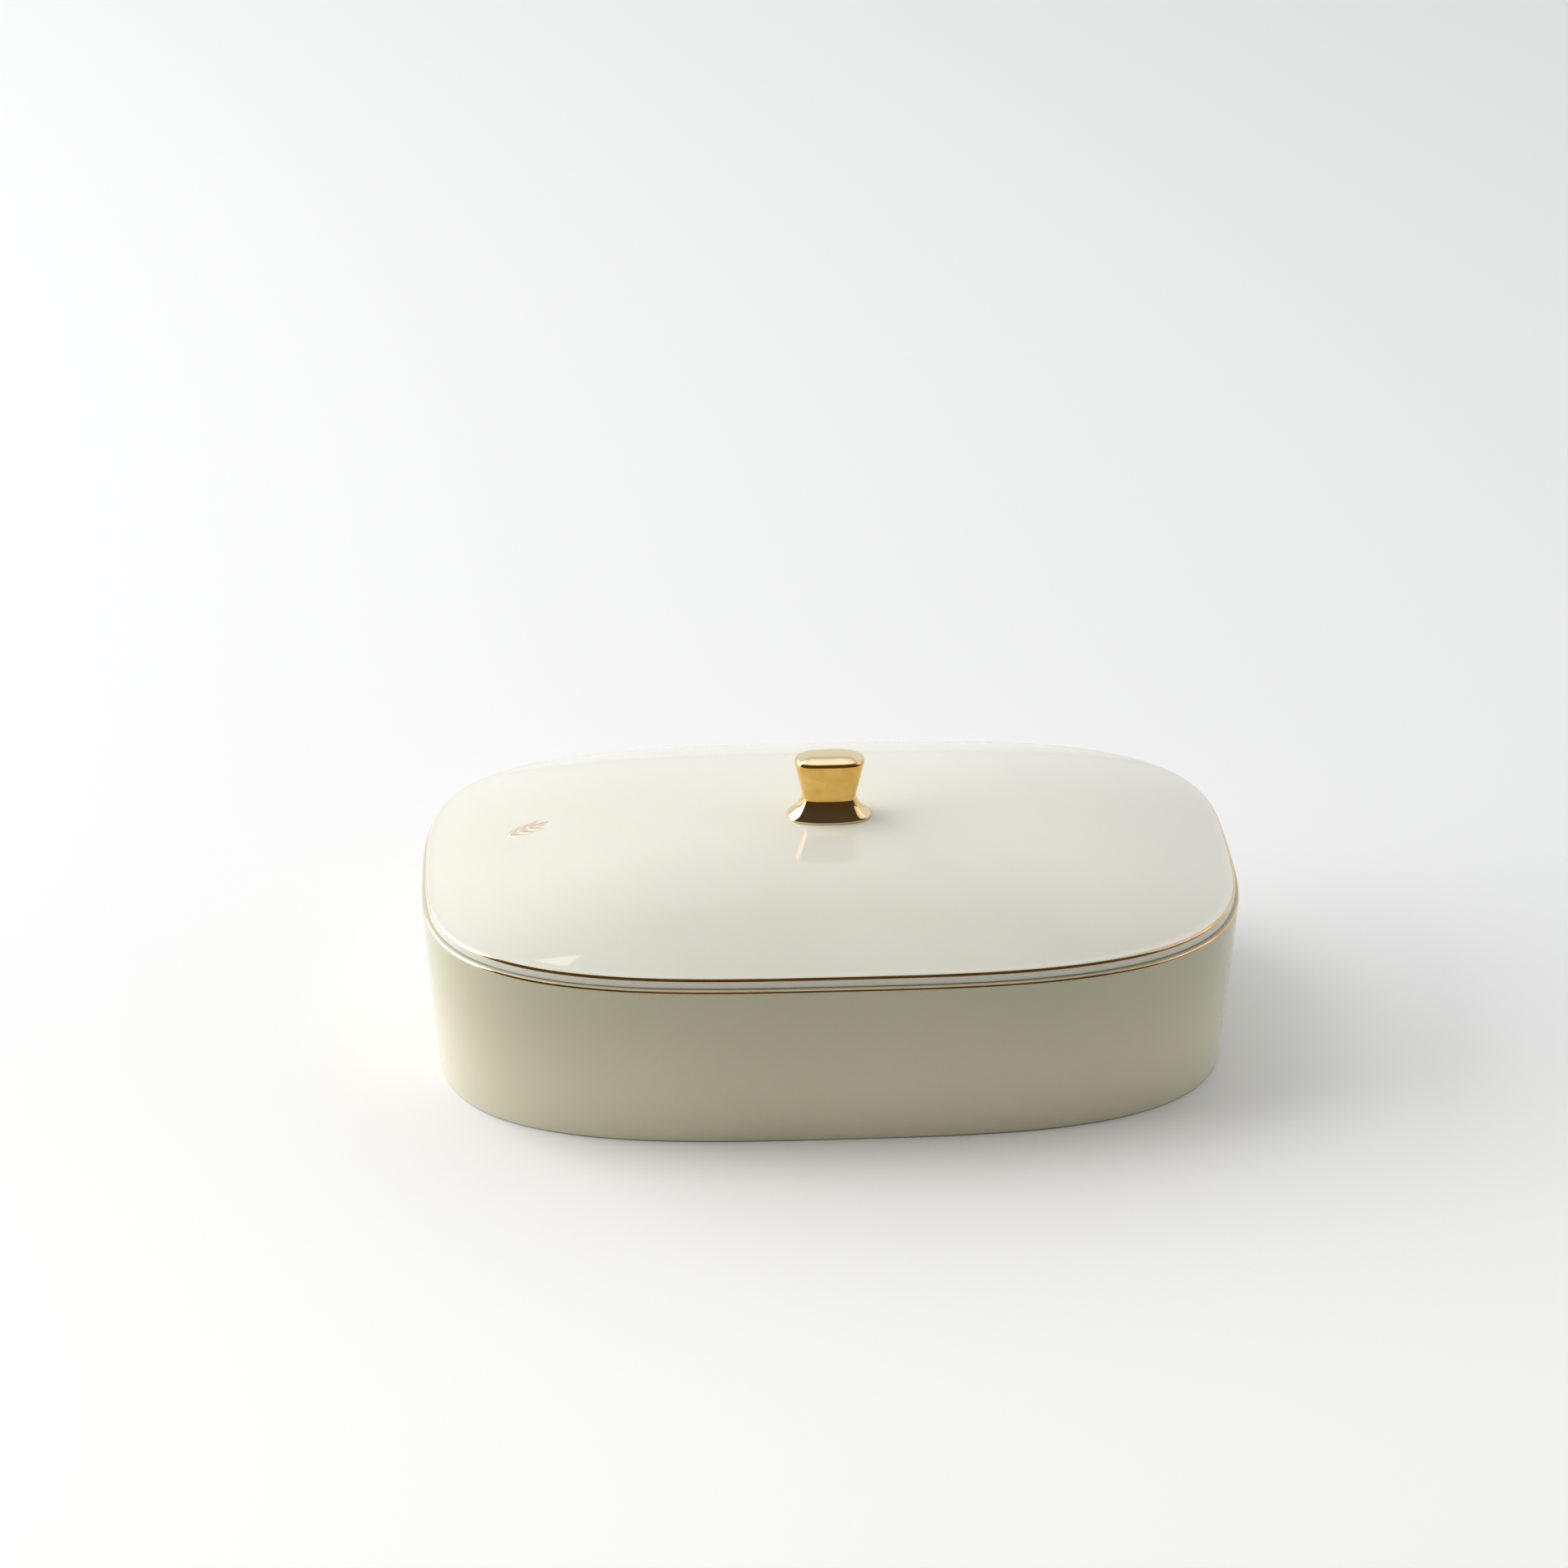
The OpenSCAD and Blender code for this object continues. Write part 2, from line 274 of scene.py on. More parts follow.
def spread(tree, value, low, high, out_low=0, out_high=1, smooth=False):
    """Value mapped from low..high to out_low..out_high."""
    node = tree.nodes.new("ShaderNodeMapRange")
    if smooth:
        node.interpolation_type = "SMOOTHSTEP"
    limits = {"From Min": low, "From Max": high, "To Min": out_low, "To Max": out_high}
    for key, number in limits.items():
        node.inputs[key].default_value = number
    tree.links.new(value, node.inputs["Value"])
    return node.outputs["Result"]


def mix(tree, factor, first, second):
    """Colour that goes from first to second with factor; each is a colour or a socket."""
    node = tree.nodes.new("ShaderNodeMix")
    node.data_type = "RGBA"
    tree.links.new(factor, node.inputs[0])
    for socket, colour in ((node.inputs[6], first), (node.inputs[7], second)):
        if isinstance(colour, tuple):
            socket.default_value = (*colour, 1)
        else:
            tree.links.new(colour, socket)
    return node.outputs[2]


def drift(tree, coords, pattern, span, deep, light):
    """Colour that wanders from deep to light as the noise goes through span."""
    node = tree.nodes.new("ShaderNodeValToRGB")
    for element, position, colour in zip(node.color_ramp.elements, span, (deep, light)):
        element.position = position
        element.color = (*colour, 1)
    tree.links.new(noise(tree, coords, *pattern), node.inputs["Fac"])
    return node.outputs["Color"]


def sheen(tree, shader, coords, pattern, smoothest, roughest):
    """Roughness that wanders between two limits."""
    value = spread(tree, noise(tree, coords, *pattern), *WIDE_SPAN, smoothest, roughest)
    tree.links.new(value, shader.inputs["Roughness"])


def relief(tree, coords, pattern, depth, strength=1.0, over=None):
    """Bump from a noise, on top of the bump over where there is one."""
    node = tree.nodes.new("ShaderNodeBump")
    node.inputs["Distance"].default_value = depth
    node.inputs["Strength"].default_value = strength
    tree.links.new(noise(tree, coords, *pattern), node.inputs["Height"])
    if over is not None:
        tree.links.new(over, node.inputs["Normal"])
    return node.outputs["Normal"]


def specks(tree, coords):
    """Mask of small round specks in a few of the pattern's cells."""
    cells = tree.nodes.new("ShaderNodeTexVoronoi")
    cells.inputs["Scale"].default_value = SPECK_CELLS
    tree.links.new(coords, cells.inputs["Vector"])
    near = spread(tree, cells.outputs["Distance"], SPECK_R * SPECK_CORE, SPECK_R, 1, 0)
    pick = tree.nodes.new("ShaderNodeSeparateColor")
    tree.links.new(cells.outputs["Color"], pick.inputs["Color"])
    chosen = spread(tree, pick.outputs["Red"], SPECK_SHARE, SPECK_SHARE + SPECK_CUT, 1, 0)
    both = tree.nodes.new("ShaderNodeMath")
    both.operation = "MULTIPLY"
    for value, socket in zip((near, chosen), both.inputs):
        tree.links.new(value, socket)
    return both.outputs["Value"]


# ---- materials ----
# A pattern is a noise's scale, detail and roughness. Tones are a deep and a light colour.
TONE_SPAN = (0.35, 0.65)
WIDE_SPAN = (0.3, 0.7)

# The box's outside glaze is a darker, olive copy of the lid's ivory glaze: painted shade on the
# box's walls, which are the same porcelain as the lid.
BOX_PAINTED_SHADE_GLAZE = ((0.705, 0.677, 0.508), (0.735, 0.707, 0.538))
LID_GLAZE = ((0.775, 0.76, 0.665), (0.805, 0.79, 0.695))
# Painted shade on the box's upper outside wall: between two heights its tone is mixed towards this
# dark olive, by up to the last share, darkest at the rim.
PAINTED_SHADE_TONE = (0.43, 0.42, 0.29)
PAINTED_SHADE_Z = (0.2 * RIM_Z, 0.95 * RIM_Z)
PAINTED_SHADE_SHARE = 0.45
GLAZE_TONE = (14, 3)
GLAZE_SHEEN = (60, 3)
GLAZE_ROUGHNESS = (0.025, 0.055)
GLAZE_RELIEF = 0.6
RIPPLE = (22, 1)
RIPPLE_DEPTH = 0.015 * MM
PEEL = (420, 2)
PEEL_DEPTH = 0.001 * MM
SPECK_CELLS = 55
SPECK_R = 0.016
SPECK_CORE = 0.6
SPECK_SHARE = 0.06
SPECK_CUT = 0.01
SPECK_TONE = (0.33, 0.27, 0.19)
GLAZE_IOR = 1.52
GLAZE_SCATTER = 0.2
GLAZE_SCATTER_RADIUS = (1.0, 0.8, 0.5)
GLAZE_SCATTER_SCALE = 1.6 * MM


def porcelain(name, tones, painted_shade=None):
    """Ivory glaze: soft tone drift, rare iron specks, faint orange peel and slow ripple.

    The last argument, when given, is (low, high): between these heights the tone is painted darker
    towards the rim, painted shade on the upper wall."""
    material, tree, shader, coords = new_material(name)
    tone = drift(tree, coords, GLAZE_TONE, TONE_SPAN, *tones)
    if painted_shade:
        # painted shade: the wall's tone darkens towards the rim
        shade_share = spread(tree, axes(tree, coords)["Z"], *painted_shade, 0, PAINTED_SHADE_SHARE, smooth=True)
        tone = mix(tree, shade_share, tone, PAINTED_SHADE_TONE)
    tree.links.new(mix(tree, specks(tree, coords), tone, SPECK_TONE), shader.inputs["Base Color"])
    sheen(tree, shader, coords, GLAZE_SHEEN, *GLAZE_ROUGHNESS)
    ripple = relief(tree, coords, RIPPLE, RIPPLE_DEPTH, GLAZE_RELIEF)
    peel = relief(tree, coords, PEEL, PEEL_DEPTH, GLAZE_RELIEF, ripple)
    tree.links.new(peel, shader.inputs["Normal"])
    shader.inputs["IOR"].default_value = GLAZE_IOR
    shader.inputs["Subsurface Weight"].default_value = GLAZE_SCATTER
    shader.inputs["Subsurface Radius"].default_value = GLAZE_SCATTER_RADIUS
    shader.inputs["Subsurface Scale"].default_value = GLAZE_SCATTER_SCALE
    return material


BARE_TONES = ((0.66, 0.62, 0.54), (0.78, 0.75, 0.68))
BARE_TONE = (180, 6, 0.6)
BARE_SHEEN = (300, 4)
BARE_ROUGHNESS = (0.65, 0.9)
BARE_GRAIN = (2200, 4, 0.7)
BARE_GRAIN_DEPTH = 0.05 * MM
SCUFF = (45, 5)
SCUFF_SPAN = (0.56, 0.66)
SCUFF_SHARE = 0.5
SCUFF_TONE = (0.48, 0.45, 0.40)


def bisque(name):
    """Bare fired body: chalky, ground flat and a little scuffed."""
    material, tree, shader, coords = new_material(name)
    tone = drift(tree, coords, BARE_TONE, TONE_SPAN, *BARE_TONES)
    scuffed = spread(tree, noise(tree, coords, *SCUFF), *SCUFF_SPAN, 0, SCUFF_SHARE)
    tree.links.new(mix(tree, scuffed, tone, SCUFF_TONE), shader.inputs["Base Color"])
    sheen(tree, shader, coords, BARE_SHEEN, *BARE_ROUGHNESS)
    tree.links.new(relief(tree, coords, BARE_GRAIN, BARE_GRAIN_DEPTH), shader.inputs["Normal"])
    return material


GOLD_TONE = (140, 4, 0.6)
GOLD_SHEEN = (260, 4)
GOLD_GRAIN = (2600, 3)
GOLD_GRAIN_DEPTH = 0.004 * MM
GOLD_GRAIN_STRENGTH = 0.5

LINE_GOLD = ((0.80, 0.50, 0.23), (0.92, 0.66, 0.37))
LINE_ROUGHNESS = (0.07, 0.16)
LINE_WAVES = (240, 2)
LINE_WAVE_DEPTH = 0.05 * MM
# Painted highlight: the gold lines turn light and pale towards the box's left end, where they catch
# the window.
LINE_PAINTED_HIGHLIGHT = [("X", -0.7 * HALF_L, -HALF_L, (0.95, 0.84, 0.70))]

SPRIG_GOLD = ((0.90, 0.73, 0.50), (0.95, 0.80, 0.60))
SPRIG_ROUGHNESS = (0.38, 0.52)
SPRIG_WAVES = (500, 2)
SPRIG_WAVE_DEPTH = 0.01 * MM

KNOB_GOLD = ((0.80, 0.48, 0.13), (0.94, 0.64, 0.22))
KNOB_ROUGHNESS = (0.04, 0.10)
KNOB_WAVES = (130, 2)
KNOB_WAVE_DEPTH = 0.10 * MM
# Painted highlights: the knob's top face and the lower part of its flare are painted a lighter
# gold, where they reflect the bright room.
KNOB_PAINTED_HIGHLIGHTS = [
    ("Z", SEAT_Z + TOP_Z + TOP_R / 2, SEAT_Z + TOP_Z + TOP_R, (0.93, 0.76, 0.49)),
    ("Z", SEAT_Z + NECK_Z, SEAT_Z + 0.3 * NECK_Z, (0.94, 0.74, 0.43)),
]


def gilding(name, tones, roughness, waves, wave_depth, painted_highlights=()):
    """Bright gold with brushed-on thickness: slow waves, fine grain and tone that drifts.

    The last argument lists (axis, low, high, colour): from low to high the gold is painted lighter
    towards the colour, a painted highlight."""
    material, tree, shader, coords = new_material(name)
    colour = drift(tree, coords, GOLD_TONE, TONE_SPAN, *tones)
    # painted highlights: lighter gold along an axis
    for axis, low, high, highlight_colour in painted_highlights:
        highlight_share = spread(tree, axes(tree, coords)[axis], low, high, smooth=True)
        colour = mix(tree, highlight_share, colour, highlight_colour)
    tree.links.new(colour, shader.inputs["Base Color"])
    sheen(tree, shader, coords, GOLD_SHEEN, *roughness)
    rolling = relief(tree, coords, waves, wave_depth)
    grain = relief(tree, coords, GOLD_GRAIN, GOLD_GRAIN_DEPTH, GOLD_GRAIN_STRENGTH, rolling)
    tree.links.new(grain, shader.inputs["Normal"])
    shader.inputs["Metallic"].default_value = 1.0
    return material


GASKET_TONES = ((0.70, 0.69, 0.65), (0.78, 0.77, 0.73))
CUSHION_TONES = ((0.76, 0.75, 0.71), (0.84, 0.83, 0.79))
SILICONE_TONE = (700, 4)
SILICONE_SHEEN = (900, 3)
SILICONE_ROUGHNESS = (0.38, 0.55)
SILICONE_GRAIN = (5200, 3)
SILICONE_GRAIN_DEPTH = 0.01 * MM
SILICONE_SCATTER = 0.4
SILICONE_SCATTER_SCALE = 1 * MM


def silicone(name, tones):
    """Soft washer: milky, slightly mottled, with a faint moulded grain."""
    material, tree, shader, coords = new_material(name)
    tone = drift(tree, coords, SILICONE_TONE, WIDE_SPAN, *tones)
    tree.links.new(tone, shader.inputs["Base Color"])
    sheen(tree, shader, coords, SILICONE_SHEEN, *SILICONE_ROUGHNESS)
    grain = relief(tree, coords, SILICONE_GRAIN, SILICONE_GRAIN_DEPTH)
    tree.links.new(grain, shader.inputs["Normal"])
    shader.inputs["Subsurface Weight"].default_value = SILICONE_SCATTER
    shader.inputs["Subsurface Scale"].default_value = SILICONE_SCATTER_SCALE
    return material


ZINC_TONES = ((0.50, 0.51, 0.53), (0.72, 0.72, 0.73))
ZINC_TONE = (1500, 5, 0.65)
ZINC_SHEEN = (800, 4)
ZINC_ROUGHNESS = (0.22, 0.42)
ZINC_GRAIN = (6000, 3)
ZINC_GRAIN_DEPTH = 0.006 * MM


def zinc(name):
    """Zinc-plated steel: crystalline tone drift and a fine grain."""
    material, tree, shader, coords = new_material(name)
    tone = drift(tree, coords, ZINC_TONE, WIDE_SPAN, *ZINC_TONES)
    tree.links.new(tone, shader.inputs["Base Color"])
    sheen(tree, shader, coords, ZINC_SHEEN, *ZINC_ROUGHNESS)
    tree.links.new(relief(tree, coords, ZINC_GRAIN, ZINC_GRAIN_DEPTH), shader.inputs["Normal"])
    shader.inputs["Metallic"].default_value = 1.0
    return material


# ---- the box ----
def make_box_body():
    """Bowl from the foot's recess, up the outside, over the rim and down to the inside floor."""
    inner_foot = BASE_DRAW + FOOT_R + FOOT_W
    recess_r = FOOT_RECESS / 2
    fillet_z = FLOOR_Z + FLOOR_R
    fillet_inset = wall_inset(fillet_z) + WALL_T + FLOOR_R
    outer_z = np.linspace(FOOT_R * 2, RIM_Z - RIM_R, OUTSIDE_ROWS)
    inner_z = np.linspace(RIM_Z - RIM_INNER_R * 2, fillet_z, INSIDE_ROWS)
    section = arc(inner_foot + 2 * recess_r, FOOT_RECESS - recess_r, recess_r, 90, 180, steps=5)
    section += arc(inner_foot - FOOT_R / 2 + recess_r, FOOT_R / 2, FOOT_R / 2, 0, -90, steps=4)
    section += arc(BASE_DRAW + FOOT_R, FOOT_R, FOOT_R, 270, 180)
    section += [(wall_inset(z), z) for z in outer_z[:-1]]
    section += arc(RIM_R, RIM_Z - RIM_R, RIM_R, 180, 90)
    first_inside = len(section) * AROUND
    section += arc(WALL_T - RIM_INNER_R, RIM_Z - RIM_INNER_R, RIM_INNER_R, 90, 0)
    section += [(wall_inset(z) + WALL_T, z) for z in inner_z[:-1]]
    section += arc(fillet_inset, fillet_z, FLOOR_R, 180, 270, steps=12)
    piece = skin("porcelain_box", rings(section))
    # The outside gets the darker copy of the glaze, which is painted shade, and more painted shade
    # darkening its upper wall.
    glaze = porcelain("ivory_glaze_box_painted_shade", BOX_PAINTED_SHADE_GLAZE, PAINTED_SHADE_Z)
    place(piece, "box", "box_body", glaze)
    piece.data.materials.append(bisque("bare_foot"))
    piece.data.materials.append(porcelain("ivory_glaze_inside", LID_GLAZE))
    for face in piece.data.polygons:
        if face.center.z < BARE_FOOT_Z:
            face.material_index = 1
        elif face.index >= first_inside and face.center.z > FLOOR_Z - BARE_FOOT_Z:
            face.material_index = 2


# ---- the lid ----
def make_lid_shell():
    """Shell from the middle of its underside, round the flange and the edge, and over the crown."""
    under = [crown_ring(rho, LID_T) for rho in np.linspace(FLAT_RHO, UNDER_RHO, UNDER_ROWS)]
    crown = [crown_ring(rho) for rho in np.linspace(1, FLAT_RHO, CROWN_ROWS)]
    section = [(FLANGE_IN, FLANGE_ROOT_Z)]
    section += arc(FLANGE_IN - FLANGE_R, FLANGE_Z + FLANGE_R, FLANGE_R, 0, -90)
    section += arc(FLANGE_OUT + FLANGE_R, FLANGE_Z + FLANGE_R, FLANGE_R, 270, 180)
    section += [(FLANGE_OUT, RIM_Z)]
    section += arc(REVEAL + EDGE_UNDER_R, RIM_Z + EDGE_UNDER_R, EDGE_UNDER_R, 270, 180)
    shoulder_end = 180 - math.degrees(SHOULDER_END)
    section += arc(REVEAL + SHOULDER_R, SHOULDER_Z, SHOULDER_R, 180, shoulder_end)
    piece = skin("porcelain_lid", under + rings(section) + crown)
    place(piece, "lid", "lid_shell", porcelain("ivory_glaze_lid", LID_GLAZE))
    piece.data.materials.append(bisque("bare_flange"))
    for face in piece.data.polygons:
        low = face.center.z < FLANGE_Z + FLANGE_R / 2
        seat = abs(face.center.z - RIM_Z) < EDGE_UNDER_R / 10
        if low or seat:
            face.material_index = 1


# ---- the gold lines ----
def brushed_edge(base, seed):
    """Limit of a hand-brushed line round the outline: base with a few slow swells, in degrees."""
    swell = sum(np.sin(k * turns(AROUND) + seed * k * k) / k for k in SWELLS)
    return base + LINE_SWING * swell


def brushed_line(inset, z, r, span, seeds):
    """Rows of a gold line over a rounded edge, between two brushed limits."""
    low, high = (brushed_edge(base, seed) for base, seed in zip(span, seeds))
    rows = []
    for t in np.linspace(0, 1, LINE_ROWS):
        angle = np.radians(180 - low - (high - low) * t)
        rows.append(ring(inset + r * np.cos(angle), z + r * np.sin(angle)))
    return rows


def rim_gold_rings(offset):
    return brushed_line(RIM_R, RIM_Z - RIM_R, RIM_R + offset, RIM_LINE, RIM_SEEDS)


def lid_gold_rings(offset):
    return brushed_line(REVEAL + SHOULDER_R, SHOULDER_Z, SHOULDER_R + offset, LID_LINE, LID_SEEDS)


def make_gold_line(name, line, body, node, slot):
    piece = skin(name, line(GILT_PROUD) + line(-GILT_DEPTH)[::-1], loop=True)
    gold = gilding(slot, LINE_GOLD, LINE_ROUGHNESS, LINE_WAVES, LINE_WAVE_DEPTH, LINE_PAINTED_HIGHLIGHT)
    place(piece, body, node, gold)


# ---- the leaf sprig ----
def make_emblem():
    """Stem, tip leaf and pairs of side leaves, each a strip of cross lines laid on the lid."""
    centre = (emblem_low + emblem_high) / 2
    verts, faces = [], []

    def to_lid(along, across):
        along = along - SPRIG_L / 2
        x = centre.x + along * math.cos(SPRIG_TURN) - across * math.sin(SPRIG_TURN)
        y = centre.y + along * math.sin(SPRIG_TURN) + across * math.cos(SPRIG_TURN)
        return (x, y, lid_surface(x, y) + SPRIG_LIFT)

    def strip(root, direction, size, width, bend):
        first = len(verts)
        for i in range(LEAF_STEPS + 1):
            t = i / LEAF_STEPS
            half = width(t) / 2
            way = direction + bend * t
            along, across = root + size * t * math.cos(way), size * t * math.sin(way)
            for s in (-half, 0, half):
                verts.append(to_lid(along - s * math.sin(way), across + s * math.cos(way)))
        for i in range(LEAF_STEPS):
            for s in (0, 1):
                a = first + i * 3 + s
                faces.append((a, a + 3, a + 4, a + 1))

    def leaf_width(t):
        return SPRIG_L * LEAF_W * math.sin(math.pi * t**LEAF_SKEW) + SPRIG_LIFT

    def stem_width(t):
        return SPRIG_L * STEM_W * (STEM_SWELL - t * STEM_TAPER)

    tip = 1 - LEAF_L
    strip(0, 0, SPRIG_L * (tip + LEAF_W), stem_width, 0)
    strip(SPRIG_L * tip, 0, SPRIG_L * LEAF_L, leaf_width, 0)
    for root in LEAF_ROOTS:
        for side in (-1, 1):
            direction = side * (LEAF_TURN + LEAF_BEND / 2)
            strip(SPRIG_L * root, direction, SPRIG_L * LEAF_L, leaf_width, -side * LEAF_BEND)
    piece = new_piece("leaf_sprig", verts, faces)
    film = piece.modifiers.new("film", "SOLIDIFY")
    film.thickness = SPRIG_T
    film.offset = -1
    gold = gilding("sprig_gold", SPRIG_GOLD, SPRIG_ROUGHNESS, SPRIG_WAVES, SPRIG_WAVE_DEPTH)
    place(piece, "lid", "lid_emblem", gold)


# ---- the knob ----
def knob_outline(half_l, half_w, u, angle):
    """Points of the knob's plan, u of the way down its flare.

    It is an oval, bulge times as deep as the knob, cut flat along its long sides."""
    c, s = np.cos(angle), np.sin(angle)
    grip_bulge = np.where(s < 0, FRONT_BULGE, BACK_BULGE)
    bulge = grip_bulge + (FOOT_BULGE - grip_bulge) * u**BULGE_POWER
    oval = (abs(c) ** OVAL_POWER + abs(s / bulge) ** OVAL_POWER) ** (1 / OVAL_POWER)
    k = (oval**RIDGE_POWER + abs(s) ** RIDGE_POWER) ** (-1 / RIDGE_POWER)
    return half_l * c * k, half_w * s * k


def knob_ring(z, inset=0.0, rise=0.0):
    """Ring of the knob as at height z above its seat, drawn in by inset and raised by rise."""
    u = max(0, 1 - (z - BEAD) / (NECK_Z - BEAD))
    if z < NECK_Z:
        share = FLARE_CREASE * u + (1 - FLARE_CREASE) * u**FLARE_POWER
        half = [n + (f - n) * share for n, f in zip(KNOB_NECK, KNOB_FOOT)]
    else:
        t = (z - NECK_Z) / (TOP_Z - NECK_Z)
        half = [n + (f - n) * t for n, f in zip(KNOB_NECK, KNOB_TOP)]
    x, y = knob_outline(half[0] - inset, half[1] - inset, u, turns(KNOB_AROUND))
    return np.stack([x, y, np.zeros(KNOB_AROUND) + SEAT_Z + z + rise], 1)


def rounding(r, start, end, count):
    """Rounded edge as (inset, rise) pairs, from start to end degrees above its widest place."""
    angles = np.radians(np.linspace(start, end, count))
    return [(r * (1 - math.cos(a)), r * math.sin(a)) for a in angles]


def dent(stack):
    """Presses the small pit into the front of the grip."""
    for row in stack:
        away = np.hypot(row[:, 0] - PIT_X, row[:, 2] - SEAT_Z - PIT_Z)
        front = row[:, 1] < 0
        row[:, 1] += front * PIT_DEPTH * np.exp(-((away / PIT_R) ** 2))
    return stack


def make_knob():
    """Knob from the bead at its foot, up the flare and the grip, over the edge and up the dome."""
    bead_r = BEAD / 2
    bead = rounding(bead_r, BEAD_START, 0, BEAD_ROWS)
    stack = [knob_ring(BEAD, inset, rise - bead_r) for inset, rise in bead]
    stack += [knob_ring(z) for z in np.linspace(BEAD, NECK_Z, FLARE_ROWS)[1:]]
    stack += [knob_ring(z) for z in np.linspace(NECK_Z, TOP_Z, GRIP_ROWS)[1:]]
    edge = rounding(TOP_R, 0, TOP_TURN, EDGE_ROWS)
    stack += [knob_ring(TOP_Z, inset, rise) for inset, rise in edge[1:]]
    edge_in, edge_up = edge[-1]
    reach = KNOB_TOP[1] - edge_in - DOME_SPINE
    climb = TOP_R + DOME - edge_up
    for t in np.linspace(0, 1, DOME_ROWS)[1:]:
        stack.append(knob_ring(TOP_Z, edge_in + reach * t, edge_up + climb * (1 - (1 - t) ** 2)))
    gold = gilding("knob_gold", KNOB_GOLD, KNOB_ROUGHNESS, KNOB_WAVES, KNOB_WAVE_DEPTH, KNOB_PAINTED_HIGHLIGHTS)
    place(skin("gold_knob", dent(stack)), "lid", "knob", gold)


# ---- lights, floor and camera ----
FLOOR_HALF = 3.0
# The floor's colour holds painted light: lighter just in front of the box, then painted shade
# falling to dark towards the camera.
PAPER_BACK = (0.86, 0.86, 0.86)
PAPER_PAINTED_LIGHT = (0.95, 0.945, 0.925)
PAPER_PAINTED_SHADE = (0.12, 0.09, 0.05)
PAPER_ROUGHNESS = 0.7
PAPER_SPECULAR = 0.2
PAINTED_LIGHT_Y = (0.05, -0.2)
PAINTED_SHADE_Y = (-0.22, -0.38)


def make_floor():
    """Pale floor with a painted pool of light just in front of the box, and painted shade that
    falls off to dark towards the camera.
    """
    corners = [(x * FLOOR_HALF, y * FLOOR_HALF, 0) for x, y in ((-1, -1), (1, -1), (1, 1), (-1, 1))]
    floor = new_piece("floor", corners, [(0, 1, 2, 3)], smooth=False)
    material, tree, shader, coords = new_material("pale_paper_painted_light_and_shade")
    depth = axes(tree, coords)["Y"]
    # painted pool of light in front of the box, then painted shade towards the camera
    paper = mix(tree, spread(tree, depth, *PAINTED_LIGHT_Y, smooth=True), PAPER_BACK, PAPER_PAINTED_LIGHT)
    paper = mix(tree, spread(tree, depth, *PAINTED_SHADE_Y, smooth=True), paper, PAPER_PAINTED_SHADE)
    tree.links.new(paper, shader.inputs["Base Color"])
    shader.inputs["Roughness"].default_value = PAPER_ROUGHNESS
    shader.inputs["Specular IOR Level"].default_value = PAPER_SPECULAR
    floor.data.materials.append(material)


# World limits are parts of a direction: Y is away from the camera and Z is up.
DUSK_Y = (-0.5, 0.4)
CEILING_EDGE_Z = (0.83, 0.87)
CEILING_EDGE = (0.56, 0.56, 0.55)
OVERHEAD_Z = (0.88, 1.0)
CEILING_LIGHT = (1.15, 1.15, 1.13)
ROOM_DARK = (0.065, 0.052, 0.034)
WALL_LIGHT = (0.77, 0.80, 0.83)


def make_world():
    """Room with a pale far wall, a dark near side and a ceiling that is brightest overhead."""
    world = bpy.data.worlds.new("studio")
    world.use_nodes = True
    tree = world.node_tree
    coords = tree.nodes.new("ShaderNodeTexCoord")
    way = axes(tree, coords.outputs["Generated"])
    room = mix(tree, spread(tree, way["Y"], *DUSK_Y, smooth=True), ROOM_DARK, WALL_LIGHT)
    room = mix(tree, spread(tree, way["Z"], *CEILING_EDGE_Z, smooth=True), room, CEILING_EDGE)
    room = mix(tree, spread(tree, way["Z"], *OVERHEAD_Z, smooth=True), room, CEILING_LIGHT)
    tree.links.new(room, tree.nodes["Background"].inputs["Color"])
    tree.nodes["Background"].inputs["Strength"].default_value = 1.0
    bpy.context.scene.world = world


DAYLIGHT = (1.0, 0.993, 0.990)
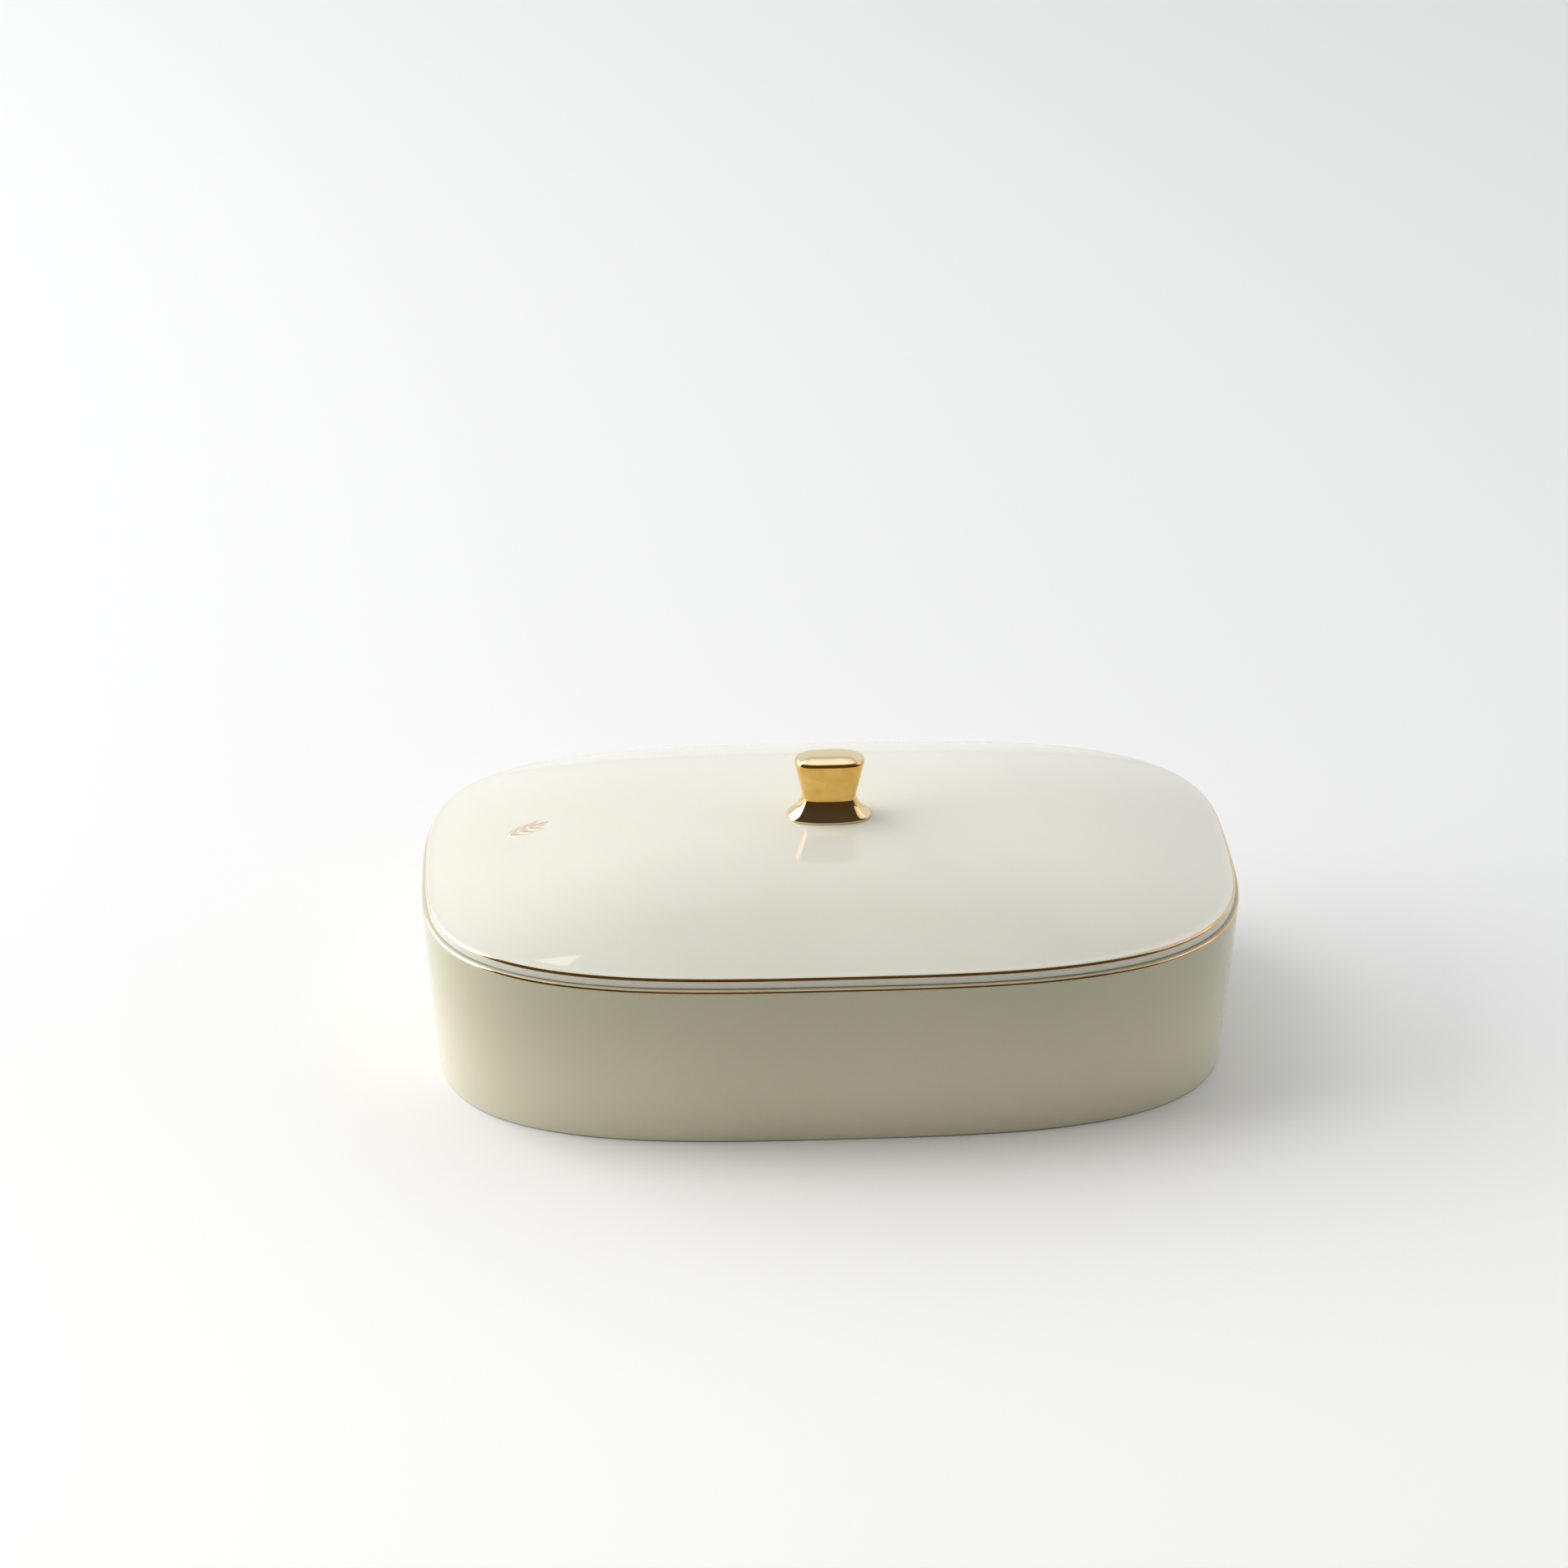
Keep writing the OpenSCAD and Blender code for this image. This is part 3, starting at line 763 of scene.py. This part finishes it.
# Square panels: name, place, the point each faces, side in metres, power in watts.
LIGHTS = [
    ("window_near", (-1.25, 0.05, 0.55), (0.3, 0.05, 0), 0.9, 10.8),
    ("window_far", (-1.25, 1.05, 0.75), (0.3, 1.05, 0), 0.9, 6.3),
    ("ceiling_left", (-0.8, 0.30, 1.5), (0, 0, 0), 0.8, 6.0),
    ("wall_right", (0.95, -0.2, 0.75), (0, 0, 0.06), 0.9, 1.7),
]


def make_lights():
    for name, at, aim, side, power in LIGHTS:
        light = bpy.data.lights.new(name, "AREA")
        light.shape = "SQUARE"
        light.size = side
        light.energy = power
        light.color = DAYLIGHT
        lamp = bpy.data.objects.new(name, light)
        lamp.location = at
        lamp.rotation_euler = (Vector(aim) - Vector(at)).to_track_quat("-Z", "Y").to_euler()
        bpy.context.scene.collection.objects.link(lamp)


# Camera fitted to the photograph: metres, millimetres of lens on a 36 mm sensor, and radians.
EYE = (-0.0614, -0.935, 0.5867)
LENS = 100.8
SENSOR = 36
CLIP_START = 0.01
PAN = 0.0538
TILT = 0.5068
LEAN = 0.0033


def make_camera():
    """Long lens, high front view, turned a little to the right."""
    camera = bpy.data.cameras.new("camera")
    camera.sensor_width = SENSOR
    camera.lens = LENS
    camera.clip_start = CLIP_START
    eye = bpy.data.objects.new("camera", camera)
    eye.location = EYE
    look = Matrix.Rotation(-PAN, 3, "Z") @ Matrix.Rotation(math.pi / 2 - TILT, 3, "X")
    eye.rotation_euler = (look @ Matrix.Rotation(LEAN, 3, "Z")).to_euler()
    bpy.context.scene.collection.objects.link(eye)
    bpy.context.scene.camera = eye


make_box_body()
make_gold_line("rim_gold_line", rim_gold_rings, "box", "box_rim_gilding", "rim_gold")
make_lid_shell()
make_gold_line("lid_gold_line", lid_gold_rings, "lid", "lid_edge_gilding", "lid_gold")
make_emblem()
make_knob()
for node, finish in (
    ("knob_gasket", silicone("gasket_silicone", GASKET_TONES)),
    ("knob_cushion", silicone("cushion_silicone", CUSHION_TONES)),
    ("knob_washer", zinc("washer_zinc")),
    ("knob_screw", zinc("screw_zinc")),
):
    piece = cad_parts[node]
    piece.data.materials.clear()
    piece.data.materials.append(finish)
make_world()
make_floor()
make_lights()
make_camera()
bpy.context.scene.view_settings.view_transform = "Standard"
